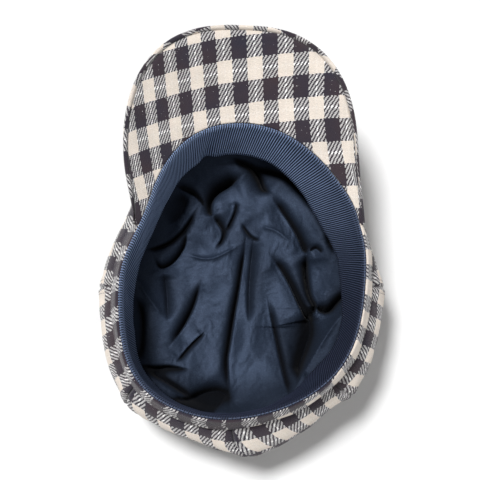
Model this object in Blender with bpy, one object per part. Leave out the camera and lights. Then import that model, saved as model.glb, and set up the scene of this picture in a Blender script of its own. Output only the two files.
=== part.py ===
"""A newsboy cap in check wool, lying upside down on its crown, as separate sewn pieces.

Metres, +Z up. The head opening faces up, the visor points along -Y and the flat of the
crown rests on z = 0. Turned half a turn about its length, the cap is as it is worn.
Each piece is a closed solid of its real thickness, and a small gap stands where two
pieces are sewn or pressed together.
"""

import math

import bmesh
import bpy
from mathutils import Vector

GAP = 0.0003

# The head opening about the hub, which is the middle of the crown. Its outline is a
# superellipse, with fuller corners behind and slimmer ones in front.
OPENING_HALF_WIDTH = 0.083
OPENING_FRONT = 0.111
OPENING_BACK = 0.091
ROUNDNESS = 2.05
ROUNDNESS_CHANGE = 0.45

# Heights above the floor
RIM_HEIGHT = 0.090
BAND_HEIGHT = 0.018
EQUATOR_HEIGHT = 0.045

# The rim leaves its level for the visor's arch between these distances ahead of the hub.
RIM_BLEND = (0.020, 0.055)

# Crown
GORES = 8
STEPS_PER_GORE = 4
GORE_TIP_RADIUS = 0.003
BAND_FLARE = 0.005
EQUATOR_OUT = 0.017
EQUATOR_OUT_CHANGE = 0.008
SEAM_FULLNESS = 1.012
FLAT_SHARE = 0.62
OCTAGON_SHARE = 0.45
DIMPLE_RADIUS = 0.030
DIMPLE_FLOOR_RADIUS = 0.014
DIMPLE_DEPTH = 0.0055

# The crown's side, as shares of its height or width, and the points along each half of it
SIDE_STEPS = 4
LEAVE_SHARE = 0.35
ARRIVE_SHARE = 0.60
TUCK_SHARE = 0.60
UNDER_SHARE = 0.45

# Headband
INTERFACING_TRIM = 0.0015

# Sheet thicknesses
WOOL = 0.0012
BUCKRAM = 0.0008
SATIN = 0.0008
RIBBON = 0.0010
VISOR_CORE = 0.0020
VISOR_COVER = 0.0010

# Sweatband
SWEATBAND_DEPTH = 0.030
SWEATBAND_LEAN = 0.0085
SWEATBAND_LEAN_CHANGE = 0.0055

# Lining
LINING_PANELS = 4
LINING_SLACK = 0.006
LINING_FLOOR = 0.005
LINING_CENTRE_HEIGHT = 0.0095
LINING_TIP_RADIUS = 0.002
LINING_EDGE_DROP = 0.002

# Visor
VISOR_HALF_WIDTH = 0.078
VISOR_END = 0.046
VISOR_SHOULDER = 0.080
VISOR_TIP = 0.173
VISOR_ROUNDNESS = 2.3
VISOR_DIP = 0.005
VISOR_RISE = 0.22
VISOR_ARCH = 3.1
VISOR_SIDE_STEPS = 3
VISOR_FRONT_STEPS = 14
VISOR_WIDTH_STEPS = 3
VISOR_LIP = 0.003
VISOR_FULL_WIDTH = 0.012

# Covered button
BUTTON_RADIUS = 0.0095
BUTTON_BASE = 0.0004
BUTTON_CLOTH = 0.0008
BUTTON_SHELL = 0.0006
BUTTON_PLATE = 0.0012
BUTTON_CLEARANCE = 0.0006
SHANK_HEAD = 0.0004
SHANK_RADIUS = 0.0014
WASHER_RADIUS = 0.008
WASHER_THICKNESS = 0.0008
TURN_STEPS = 24

CROWN_REACH = (OPENING_BACK + EQUATOR_OUT + EQUATOR_OUT_CHANGE) * SEAM_FULLNESS
HUB_Y = (VISOR_TIP - CROWN_REACH) / 2

COLOURS = {
    "wool": ((0.42, 0.37, 0.36), 0.95, 0.0),
    "ribbon": ((0.030, 0.040, 0.095), 0.80, 0.0),
    "satin": ((0.025, 0.045, 0.090), 0.45, 0.0),
    "buckram": ((0.72, 0.69, 0.60), 0.90, 0.0),
    "board": ((0.12, 0.12, 0.13), 0.60, 0.0),
    "steel": ((0.70, 0.70, 0.68), 0.35, 1.0),
}


# ---- outlines ----


def smooth_step(low, high, value):
    share = min(max((value - low) / (high - low), 0.0), 1.0)
    return share * share * (3 - 2 * share)


def rim_radius(angle):
    """Distance from the hub to the head opening's edge; 90 degrees is the back."""
    length = OPENING_BACK if math.sin(angle) > 0 else OPENING_FRONT
    power = ROUNDNESS + ROUNDNESS_CHANGE * math.sin(2 * angle) * math.cos(angle)
    across = abs(math.cos(angle) / OPENING_HALF_WIDTH) ** power
    along = abs(math.sin(angle) / length) ** power
    return (across + along) ** (-1 / power)


def visor_height(x, forward):
    """Height of the visor's upper face, forward being the distance ahead of the hub."""
    root = RIM_HEIGHT - VISOR_DIP
    return root + VISOR_RISE * (forward - OPENING_FRONT) + VISOR_ARCH * x * x


def rim_height(angle):
    radius = rim_radius(angle)
    forward = -radius * math.sin(angle)
    share = smooth_step(RIM_BLEND[0], RIM_BLEND[1], forward)
    arched = visor_height(radius * math.cos(angle), forward)
    return RIM_HEIGHT + share * (arched - RIM_HEIGHT)


def equator_radius(angle):
    """The crown at its widest, between a round outline and a polygon with corners at the seams."""
    half_gore = math.pi / GORES
    from_middle = (angle - math.pi / 2) % (2 * half_gore) - half_gore
    chord = math.cos(half_gore) / math.cos(from_middle)
    fullness = SEAM_FULLNESS - OCTAGON_SHARE * (1 - chord)
    reach = rim_radius(angle) + EQUATOR_OUT + EQUATOR_OUT_CHANGE * math.sin(angle)
    return reach * fullness


def bezier(start, leave, arrive, end, steps):
    """Points along a curve, without its first."""
    points = []
    for step in range(1, steps + 1):
        t = step / steps
        s = 1 - t
        points.append(s**3 * start + 3 * s * s * t * leave + 3 * s * t * t * arrive + t**3 * end)
    return points


def bowl_meridian(top, shoulder, bottom):
    """A bowl's side in radius and height: out from its top to its widest, then in to its floor."""
    drop = top.y - shoulder.y
    leave = Vector(((top.x + shoulder.x) / 2, top.y - LEAVE_SHARE * drop))
    arrive = Vector((shoulder.x, top.y - ARRIVE_SHARE * drop))
    points = [top] + bezier(top, leave, arrive, shoulder, SIDE_STEPS)
    leave = Vector((shoulder.x, (1 - TUCK_SHARE) * shoulder.y + TUCK_SHARE * bottom.y))
    arrive = Vector((bottom.x + UNDER_SHARE * (shoulder.x - bottom.x), bottom.y))
    return points + bezier(shoulder, leave, arrive, bottom, SIDE_STEPS)


def inner_face(meridian, thickness):
    """The meridian moved by the sheet's thickness, towards the inside of the cap."""
    points = []
    for index, point in enumerate(meridian):
        before = meridian[max(index - 1, 0)]
        after = meridian[min(index + 1, len(meridian) - 1)]
        along = (after - before).normalized()
        points.append(point - thickness * Vector((-along.y, along.x)))
    return points


def placed(point, angle):
    """A point given by its radius and height, at this angle round the hub."""
    return Vector((point.x * math.cos(angle), HUB_Y + point.x * math.sin(angle), point.y))


# ---- solids ----


def add_object(name, mesh_maker, material, sharp_angle=40):
    mesh = bpy.data.meshes.new(name)
    bm = bmesh.new()
    mesh_maker(bm)
    bmesh.ops.recalc_face_normals(bm, faces=bm.faces)
    bm.to_mesh(mesh)
    bm.free()
    mesh.materials.append(material)
    mesh.shade_smooth()
    mesh.set_sharp_from_angle(angle=math.radians(sharp_angle))
    thing = bpy.data.objects.new(name, mesh)
    bpy.context.scene.collection.objects.link(thing)
    return thing


def add_sheet(name, sections, material, closed=False):
    """A solid through sections, each a pair of equal rows of points: one face and the other."""

    def make(bm):
        rows = [[[bm.verts.new(p) for p in row] for row in section] for section in sections]
        pairs = list(zip(rows, rows[1:]))
        if closed:
            pairs.append((rows[-1], rows[0]))
        for (outer, inner), (next_outer, next_inner) in pairs:
            for a in range(len(outer) - 1):
                bm.faces.new((outer[a], outer[a + 1], next_outer[a + 1], next_outer[a]))
                bm.faces.new((inner[a], next_inner[a], next_inner[a + 1], inner[a + 1]))
            bm.faces.new((outer[0], next_outer[0], next_inner[0], inner[0]))
            bm.faces.new((outer[-1], inner[-1], next_inner[-1], next_outer[-1]))
        if not closed:
            for outer, inner in (rows[0], rows[-1]):
                for a in range(len(outer) - 1):
                    bm.faces.new((outer[a], inner[a], inner[a + 1], outer[a + 1]))

    return add_object(name, make, material)


def add_turned(name, profile, material):
    """A solid turned about the hub's axis from a closed profile of (radius, height) points."""

    def make(bm):
        verts = [bm.verts.new((radius, HUB_Y, height)) for radius, height in profile]
        edges = [bm.edges.new((a, b)) for a, b in zip(verts, verts[1:])]
        if profile[0][0] > 0:
            edges.append(bm.edges.new((verts[-1], verts[0])))
        bmesh.ops.spin(
            bm,
            geom=verts + edges,
            cent=(0, HUB_Y, 0),
            axis=(0, 0, 1),
            angle=2 * math.pi,
            steps=TURN_STEPS,
            use_merge=True,
        )
        bmesh.ops.remove_doubles(bm, verts=bm.verts, dist=1e-7)

    return add_object(name, make, material)


def add_ring(name, face_at, thickness, material):
    """A closed band round the opening; face_at gives its outer face as radius and height points."""
    count = GORES * STEPS_PER_GORE
    sections = []
    for step in range(count):
        angle = math.pi / 2 + 2 * math.pi * step / count
        outer = face_at(angle)
        inner = [point - Vector((thickness, 0)) for point in outer]
        sections.append([[placed(p, angle) for p in row] for row in (outer, inner)])
    return add_sheet(name, sections, material, closed=True)


def add_wedge(name, meridian_at, thickness, start, span, steps, material):
    """One gore of a bowl, with half a gap left free along both of its seams."""
    middle = start + span / 2
    sections = []
    for step in range(steps + 1):
        side = 2 * step / steps - 1
        outer = meridian_at(middle + side * span / 2)
        section = []
        for row in (outer, inner_face(outer, thickness)):
            points = []
            for point in row:
                half = span / 2 - math.asin(GAP / 2 / point.x)
                points.append(placed(point, middle + side * half))
            section.append(points)
        sections.append(section)
    return add_sheet(name, sections, material)


# ---- pieces ----


def crown_meridian(angle):
    seam = Vector((rim_radius(angle) + BAND_FLARE, rim_height(angle) - BAND_HEIGHT - GAP))
    equator = Vector((equator_radius(angle), EQUATOR_HEIGHT))
    flat_edge = Vector((FLAT_SHARE * rim_radius(angle), 0))
    return bowl_meridian(seam, equator, flat_edge) + [
        Vector((DIMPLE_RADIUS, 0)),
        Vector((DIMPLE_FLOOR_RADIUS, DIMPLE_DEPTH)),
        Vector((GORE_TIP_RADIUS, DIMPLE_DEPTH)),
    ]


def add_crown(wool):
    span = 2 * math.pi / GORES
    for gore in range(GORES):
        start = math.pi / 2 + gore * span
        name = f"crown_panel_{gore + 1}"
        add_wedge(name, crown_meridian, WOOL, start, span, STEPS_PER_GORE, wool)


def band_face(angle, inset, top_drop, bottom_rise):
    """The flaring band's outer face, moved in and trimmed at both edges."""
    radius = rim_radius(angle) - inset
    height = rim_height(angle)
    points = []
    for depth in (top_drop, BAND_HEIGHT / 2, BAND_HEIGHT - bottom_rise):
        points.append(Vector((radius + BAND_FLARE * depth / BAND_HEIGHT, height - depth)))
    return points


def interfacing_face(angle):
    return band_face(angle, WOOL + GAP, INTERFACING_TRIM, INTERFACING_TRIM)


def add_bands(wool, buckram, ribbon):
    add_ring("headband", lambda angle: band_face(angle, 0, 0, 0), WOOL, wool)
    add_ring("headband_interfacing", interfacing_face, BUCKRAM, buckram)
    add_ring("sweatband", sweatband_face, RIBBON, ribbon)


def lining_inset():
    return WOOL + BUCKRAM + 2 * GAP


def sweatband_face(angle):
    radius = rim_radius(angle) - lining_inset() - SATIN - GAP
    lean = SWEATBAND_LEAN - SWEATBAND_LEAN_CHANGE * math.sin(angle)
    top = Vector((radius, rim_height(angle)))
    points = []
    for share in (0, 1 / 3, 2 / 3, 1):
        points.append(top - Vector((lean * share, SWEATBAND_DEPTH * share)))
    return points


def lining_meridian(angle):
    rim = rim_radius(angle) - lining_inset()
    height = rim_height(angle)
    top = Vector((rim, height - LINING_EDGE_DROP))
    waist = Vector((rim + BAND_FLARE / 2, height - BAND_HEIGHT))
    equator = Vector((equator_radius(angle) - LINING_SLACK, EQUATOR_HEIGHT))
    floor_edge = Vector((FLAT_SHARE * rim_radius(angle), LINING_FLOOR))
    return [top] + bowl_meridian(waist, equator, floor_edge) + [
        Vector((DIMPLE_RADIUS + LINING_SLACK, LINING_FLOOR)),
        Vector((DIMPLE_RADIUS - LINING_SLACK, LINING_CENTRE_HEIGHT)),
        Vector((LINING_TIP_RADIUS, LINING_CENTRE_HEIGHT)),
    ]


def add_lining(satin):
    span = 2 * math.pi / LINING_PANELS
    steps = GORES * STEPS_PER_GORE // LINING_PANELS
    for panel in range(LINING_PANELS):
        start = math.pi / 2 + panel * span
        add_wedge(f"lining_panel_{panel + 1}", lining_meridian, SATIN, start, span, steps, satin)


def visor_outline(inset):
    """The visor's edge as (x, forward) points from one end to the other, moved in by inset."""
    half_width = VISOR_HALF_WIDTH - inset
    depth = VISOR_TIP - VISOR_SHOULDER - inset
    side = []
    for step in range(VISOR_SIDE_STEPS):
        share = step / VISOR_SIDE_STEPS
        side.append((half_width, VISOR_END + share * (VISOR_SHOULDER - VISOR_END)))
    front = []
    for step in range(VISOR_FRONT_STEPS + 1):
        turn = math.pi * step / VISOR_FRONT_STEPS
        across = math.copysign(abs(math.cos(turn)) ** (2 / VISOR_ROUNDNESS), math.cos(turn))
        along = math.sin(turn) ** (2 / VISOR_ROUNDNESS)
        front.append((half_width * across, VISOR_SHOULDER + depth * along))
    return side + front + [(-x, forward) for x, forward in reversed(side)]


def visor_station(index, inset):
    """One point of the edge, with the inset shrunk where the visor runs out to its ends."""
    x, forward = visor_outline(0)[index]
    width = math.hypot(x, forward) - rim_radius(math.atan2(-forward, x))
    return visor_outline(inset * min(1, width / VISOR_FULL_WIDTH))[index]


def visor_point(x, forward, depth):
    return Vector((x, HUB_Y - forward, visor_height(x, forward) - depth))


def visor_row(index, inset, depth):
    """Points from the root to the inset edge, at one depth below the visor's upper face."""
    edge_x, edge_forward = visor_station(index, inset)
    angle = math.atan2(-edge_forward, edge_x)
    flare = BAND_FLARE * depth / BAND_HEIGHT
    root = rim_radius(angle) + flare + 2 * GAP
    points = []
    for step in range(VISOR_WIDTH_STEPS + 1):
        share = step / VISOR_WIDTH_STEPS
        x = (1 - share) * root * math.cos(angle) + share * edge_x
        forward = -(1 - share) * root * math.sin(angle) + share * edge_forward
        points.append(visor_point(x, forward, depth))
    return points


def visor_sections(faces_at):
    return [faces_at(index) for index in range(len(visor_outline(0)))]


def add_visor(wool, board):
    under_bottom = VISOR_COVER
    board_top = under_bottom + GAP
    board_bottom = board_top + VISOR_CORE
    top_upper = board_bottom + GAP
    top_lower = top_upper + VISOR_COVER

    def under_faces(index):
        inset = VISOR_LIP + GAP
        return visor_row(index, inset, 0), visor_row(index, inset, under_bottom)

    def board_faces(index):
        inset = VISOR_COVER + GAP
        return visor_row(index, inset, board_top), visor_row(index, inset, board_bottom)

    def top_faces(index):
        outside = visor_row(index, 0, top_lower)
        inside = visor_row(index, VISOR_COVER, top_upper)
        outside += [visor_point(*visor_station(index, 0), 0)]
        inside += [visor_point(*visor_station(index, VISOR_COVER), VISOR_COVER)]
        outside += [visor_point(*visor_station(index, VISOR_LIP), 0)]
        inside += [visor_point(*visor_station(index, VISOR_LIP), VISOR_COVER)]
        return outside, inside

    add_sheet("visor_under_cover", visor_sections(under_faces), wool)
    add_sheet("visor_board", visor_sections(board_faces), board)
    add_sheet("visor_top_cover", visor_sections(top_faces), wool)


def dome(radius, base, top, steps=4):
    """Quarter outline of a flattened dome, from the axis at its lowest out to its rim."""
    points = []
    for step in range(steps + 1):
        turn = math.pi / 2 * step / steps
        points.append((radius * math.sin(turn), top - (top - base) * math.cos(turn)))
    return points


def add_dome_shell(name, radius, base, top, thickness, material):
    outside = dome(radius, base, top)
    inside = dome(radius - thickness, base + thickness, top)
    add_turned(name, outside + list(reversed(inside)), material)


def add_button(wool, steel):
    mouth = DIMPLE_DEPTH - GAP
    add_dome_shell("button_cover", BUTTON_RADIUS, BUTTON_BASE, mouth, BUTTON_CLOTH, wool)
    inset = BUTTON_CLOTH + GAP
    shell_base = BUTTON_BASE + inset
    add_dome_shell("button_shell", BUTTON_RADIUS - inset, shell_base, mouth, BUTTON_SHELL, steel)

    plate_radius = BUTTON_RADIUS - inset - BUTTON_SHELL - GAP - BUTTON_CLEARANCE
    plate_low = mouth - BUTTON_PLATE
    washer_low = DIMPLE_DEPTH + WOOL + GAP
    washer_high = washer_low + WASHER_THICKNESS
    shank_top = washer_high + SHANK_HEAD
    backing = [
        (0, plate_low),
        (plate_radius, plate_low),
        (plate_radius, mouth),
        (SHANK_RADIUS, mouth),
        (SHANK_RADIUS, shank_top),
        (0, shank_top),
    ]
    add_turned("button_back_and_shank", backing, steel)
    bore = SHANK_RADIUS + GAP
    washer = [
        (bore, washer_low),
        (WASHER_RADIUS, washer_low),
        (WASHER_RADIUS, washer_high),
        (bore, washer_high),
    ]
    add_turned("button_washer", washer, steel)


def make_material(name):
    colour, roughness, metallic = COLOURS[name]
    material = bpy.data.materials.new(name)
    material.use_nodes = True
    shader = material.node_tree.nodes["Principled BSDF"]
    shader.inputs["Base Color"].default_value = (*colour, 1)
    shader.inputs["Roughness"].default_value = roughness
    shader.inputs["Metallic"].default_value = metallic
    return material


def main():
    for thing in list(bpy.data.objects):
        bpy.data.objects.remove(thing)
    material = {name: make_material(name) for name in COLOURS}
    add_crown(material["wool"])
    add_bands(material["wool"], material["buckram"], material["ribbon"])
    add_lining(material["satin"])
    add_visor(material["wool"], material["board"])
    add_button(material["wool"], material["steel"])


main()
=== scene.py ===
"""The looks of the newsboy cap: woven check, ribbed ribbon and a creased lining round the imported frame.

Lengths are in metres. "Forward" is the distance ahead of the hub, the crown's middle, towards
the visor (-Y); angles go round the hub from +X, with the back of the cap at 90 degrees.
"""

import math

import bpy
import numpy as np
from mathutils import Matrix, Vector


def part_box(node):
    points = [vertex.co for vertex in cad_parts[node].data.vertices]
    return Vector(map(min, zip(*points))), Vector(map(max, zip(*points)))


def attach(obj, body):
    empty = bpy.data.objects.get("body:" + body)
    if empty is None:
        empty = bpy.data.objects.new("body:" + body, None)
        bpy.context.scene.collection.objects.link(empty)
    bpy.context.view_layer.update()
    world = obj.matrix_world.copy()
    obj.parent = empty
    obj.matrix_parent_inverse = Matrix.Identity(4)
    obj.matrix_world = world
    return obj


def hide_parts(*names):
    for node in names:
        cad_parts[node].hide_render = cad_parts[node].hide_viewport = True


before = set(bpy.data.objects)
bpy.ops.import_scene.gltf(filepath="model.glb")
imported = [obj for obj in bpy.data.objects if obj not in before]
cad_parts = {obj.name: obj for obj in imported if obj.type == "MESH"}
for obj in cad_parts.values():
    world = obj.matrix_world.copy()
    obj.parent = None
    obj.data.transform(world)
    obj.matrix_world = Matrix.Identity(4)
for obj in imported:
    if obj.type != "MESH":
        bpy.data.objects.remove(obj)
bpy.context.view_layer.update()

MM = 0.001

# ---- shape of the cap, as in the frame ----

BUTTON_LOW, BUTTON_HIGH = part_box("button_cover")
HUB_Y = (BUTTON_LOW.y + BUTTON_HIGH.y) / 2
OPENING_HALF_WIDTH = 0.083
OPENING_FRONT = 0.111
OPENING_BACK = 0.091
ROUNDNESS = 2.05
ROUNDNESS_CHANGE = 0.45
RIM_HEIGHT = 0.090
RIM_BLEND = (0.020, 0.055)
BAND_HEIGHT = 0.018
BAND_FLARE = 0.0055
EQUATOR_HEIGHT = 0.045
EQUATOR_OUT = 0.017
EQUATOR_OUT_CHANGE = 0.008
SEAM_FULLNESS = 1.012
OCTAGON_SHARE = 0.45
FLAT_SHARE = 0.62
DIMPLE_RADIUS = 0.030
DIMPLE_FLOOR_RADIUS = 0.014
DIMPLE_DEPTH = 0.0055
GORES = 8
LINING_PANELS = 4
VISOR_HALF_WIDTH = 0.079
VISOR_END = 0.040
VISOR_SHOULDER = 0.080
VISOR_TIP = 0.1757
VISOR_ROUNDNESS = 2.45
VISOR_DIP = 0.005
VISOR_RISE = 0.22
VISOR_ARCH = 3.1
VISOR_THICKNESS = 0.0047

# ---- the check ----

WARP_PITCH = 0.000637
WEFT_PITCH = 0.000938
STRIPE_THREADS = 16
CHECK_WIDTH = 2 * STRIPE_THREADS * WARP_PITCH
CHECK_LENGTH = 2 * STRIPE_THREADS * WEFT_PITCH
THREAD_WANDER = 1.5 * MM

# ---- how this cap lies ----

RIM_REGION = (0.045, 0.085)
BACK_LIMIT = 1.3
RIM_BACK_SKEW = 10 * MM
CROWN_BACK_SKEW = 4 * MM
FRONT_SKEW = 5 * MM
FRONT_REACH = (40 * MM, 30 * MM)
RIGHT_FRONT_SKEW = 6 * MM
RIGHT_FRONT_REACH = (68 * MM, 34 * MM)
RIGHT_FRONT_FROM = (-0.005, -0.050)
RIGHT_FRONT_UNTIL = (-0.081, -0.066)
DENT_SHARE = 0.10
DENT_ANGLE = math.radians(128)
DENT_WIDTH = 0.38
VISOR_ROLL_REGION = (0.030, 0.090)
VISOR_ROLL = 0.07

# ---- outlines ----


def smooth_step(low, high, value):
    share = np.clip((value - low) / (high - low), 0, 1)
    return share * share * (3 - 2 * share)


def bump(value, centre, width):
    return np.exp(-(((value - centre) / width) ** 2))


def opening_radius(angle):
    length = np.where(np.sin(angle) > 0, OPENING_BACK, OPENING_FRONT)
    power = ROUNDNESS + ROUNDNESS_CHANGE * np.sin(2 * angle) * np.cos(angle)
    across = np.abs(np.cos(angle) / OPENING_HALF_WIDTH) ** power
    along = np.abs(np.sin(angle) / length) ** power
    return (across + along) ** (-1 / power)


def visor_level(x, forward):
    root = RIM_HEIGHT - VISOR_DIP
    return root + VISOR_RISE * (forward - OPENING_FRONT) + VISOR_ARCH * x * x


def rim_level(angle):
    radius = opening_radius(angle)
    forward = -radius * np.sin(angle)
    share = smooth_step(*RIM_BLEND, forward)
    arched = visor_level(radius * np.cos(angle), forward)
    return RIM_HEIGHT + share * (arched - RIM_HEIGHT)


def equator_radius(angle):
    half_gore = math.pi / GORES
    from_middle = (angle - math.pi / 2) % (2 * half_gore) - half_gore
    chord = math.cos(half_gore) / np.cos(from_middle)
    fullness = SEAM_FULLNESS - OCTAGON_SHARE * (1 - chord)
    reach = opening_radius(angle) + EQUATOR_OUT + EQUATOR_OUT_CHANGE * np.sin(angle)
    return reach * fullness


def lie(points):
    """How this soft cap lies: its opening turned a little, its crown skewed and its visor rolled."""
    moved = points.copy()
    x, y, z = points[..., 0], points[..., 1], points[..., 2]
    forward = HUB_Y - y
    rim_share = smooth_step(*RIM_REGION, z)
    back = np.clip(-forward / OPENING_BACK, 0, BACK_LIMIT) ** 2
    front = FRONT_SKEW * bump(forward, *FRONT_REACH)
    right_front = RIGHT_FRONT_SKEW * bump(forward, *RIGHT_FRONT_REACH) * smooth_step(*RIGHT_FRONT_FROM, x)
    right_front *= smooth_step(*RIGHT_FRONT_UNTIL, x)
    moved[..., 0] += back * (rim_share * RIM_BACK_SKEW - (1 - rim_share) * CROWN_BACK_SKEW)
    moved[..., 0] -= rim_share * (front + right_front)
    angle = np.arctan2(y - HUB_Y, x)
    squash = 1 - DENT_SHARE * (1 - rim_share) * bump(angle, DENT_ANGLE, DENT_WIDTH)
    moved[..., 0] *= squash
    moved[..., 1] = HUB_Y + (y - HUB_Y) * squash
    roll = smooth_step(*VISOR_ROLL_REGION, forward) * rim_share
    moved[..., 2] += VISOR_ROLL * x * roll
    return moved


def cylindrical(radius, angle, height):
    return np.stack([radius * np.cos(angle), HUB_Y + radius * np.sin(angle), height], axis=-1)


RIPPLE_WAVES = 5
RIPPLE_GROWTH = 1.9
RIPPLE_FALL = 0.55
RIPPLE_GAIN = 2.2


def ripple(points, wavelength, seed, octaves=3):
    """Smooth irregular waves through space, about -1 to 1."""
    source = np.random.default_rng(seed)
    total = np.zeros(points.shape[:-1])
    weight = 0
    for octave in range(octaves):
        size = 2 * math.pi / wavelength * RIPPLE_GROWTH**octave
        for _ in range(RIPPLE_WAVES):
            direction = source.normal(size=3)
            direction *= size * source.uniform(0.7, 1.3) / np.linalg.norm(direction)
            phase = source.uniform(0, 2 * math.pi)
            total += RIPPLE_FALL**octave * np.sin(points @ direction + phase)
            weight += RIPPLE_FALL**octave
    return total / weight * RIPPLE_GAIN


# ---- meshes ----


def add_object(name, data):
    thing = bpy.data.objects.new(name, data)
    bpy.context.scene.collection.objects.link(thing)
    return thing


def path_distance(path):
    """Distance along a path, from its first point."""
    steps = np.linalg.norm(np.diff(path, axis=0), axis=1)
    return np.concatenate([[0], np.cumsum(steps)])


def grid_normals(points, wrap=False):
    """Unit normals of a grid of points."""
    if wrap:
        along = np.roll(points, -1, axis=0) - np.roll(points, 1, axis=0)
    else:
        along = np.gradient(points, axis=0)
    across = np.gradient(points, axis=1)
    normal = np.cross(along, across)
    length = np.linalg.norm(normal, axis=-1, keepdims=True)
    return normal / np.maximum(length, 1e-12)


def add_grid(name, points, cloth, material, thickness=0.0, wrap=False):
    """A sheet from a grid of points, with its cloth coordinates as a UV map, thickened inwards."""
    rows, columns = points.shape[:2]
    index = np.arange(rows * columns).reshape(rows, columns)
    following = np.roll(index, -1, axis=0) if wrap else index[1:]
    current = index if wrap else index[:-1]
    corners = [current[:, :-1], following[:, :-1], following[:, 1:], current[:, 1:]]
    faces = np.stack(corners, axis=-1).reshape(-1, 4)
    mesh = bpy.data.meshes.new(name)
    mesh.from_pydata(points.reshape(-1, 3).tolist(), [], faces.tolist())
    uv = mesh.uv_layers.new(name="cloth")
    corner_uv = cloth.reshape(-1, 2)[faces.reshape(-1)]
    if wrap:
        seam_faces = corner_uv.reshape(rows, -1, 4, 2)[-1]
        seam_faces[:, 1:3, 0] = cloth[-1, 0, 0] + (cloth[1, 0, 0] - cloth[0, 0, 0])
    uv.data.foreach_set("uv", corner_uv.astype(np.float32).ravel())
    if material:
        mesh.materials.append(material)
    mesh.shade_smooth()
    mesh.update()
    thing = add_object(name, mesh)
    if thickness:
        solid = thing.modifiers.new("thickness", "SOLIDIFY")
        solid.thickness = thickness
        solid.offset = -1
    return thing


def arc_length(points):
    """Distance along each row of a grid, from its first point."""
    steps = np.linalg.norm(np.diff(points, axis=1), axis=-1)
    return np.concatenate([np.zeros((len(points), 1)), np.cumsum(steps, axis=1)], axis=1)


STITCH_SIDES = 6
STITCH_RINGS = 5
STITCH_END_GIRTH = 0.35
STITCH_SINK = 0.35


def add_stitches(name, path, normals, material, slot, sizes):
    """A row of stitches along a path, each one a small bent bead; sizes are length, spacing and radius."""
    length, spacing, radius = sizes
    sides, rings = STITCH_SIDES, STITCH_RINGS
    distance = path_distance(path)
    starts = np.arange(spacing / 2, distance[-1] - length, spacing)
    share = np.linspace(0, 1, rings)
    at = starts[:, None] + share[None, :] * length

    def follow(values):
        return np.stack([np.interp(at, distance, values[:, k]) for k in range(3)], axis=-1)

    centre, up = follow(path), follow(normals)
    up /= np.linalg.norm(up, axis=-1, keepdims=True)
    along = np.gradient(centre, axis=1)
    along /= np.linalg.norm(along, axis=-1, keepdims=True)
    side = np.cross(along, up)
    arch = np.sin(math.pi * share)
    centre = centre + up * ((arch - STITCH_SINK) * radius)[None, :, None]
    girth = radius * (STITCH_END_GIRTH + (1 - STITCH_END_GIRTH) * arch)
    turn = 2 * math.pi * np.arange(sides) / sides
    cos, sin = (part[None, None, :, None] for part in (np.cos(turn), np.sin(turn)))
    ring = side[:, :, None] * cos + up[:, :, None] * sin
    points = centre[:, :, None] + ring * girth[None, :, None, None]
    one = np.arange(rings * sides).reshape(rings, sides)
    quads = np.stack([one[:-1], np.roll(one, -1, 1)[:-1], np.roll(one, -1, 1)[1:], one[1:]], axis=-1)
    faces = []
    for stitch in range(len(starts)):
        base = stitch * rings * sides
        faces += (quads.reshape(-1, 4) + base).tolist()
        faces.append((one[0][::-1] + base).tolist())
        faces.append((one[-1] + base).tolist())
    mesh = bpy.data.meshes.new(name)
    mesh.from_pydata(points.reshape(-1, 3).tolist(), [], faces)
    mesh.materials.append(material)
    mesh.shade_smooth()
    finish_piece(add_object(name, mesh), slot)


def finish_piece(thing, slot, *nodes):
    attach(thing, "root")
    if nodes:
        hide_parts(*nodes)


# ---- materials ----


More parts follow.
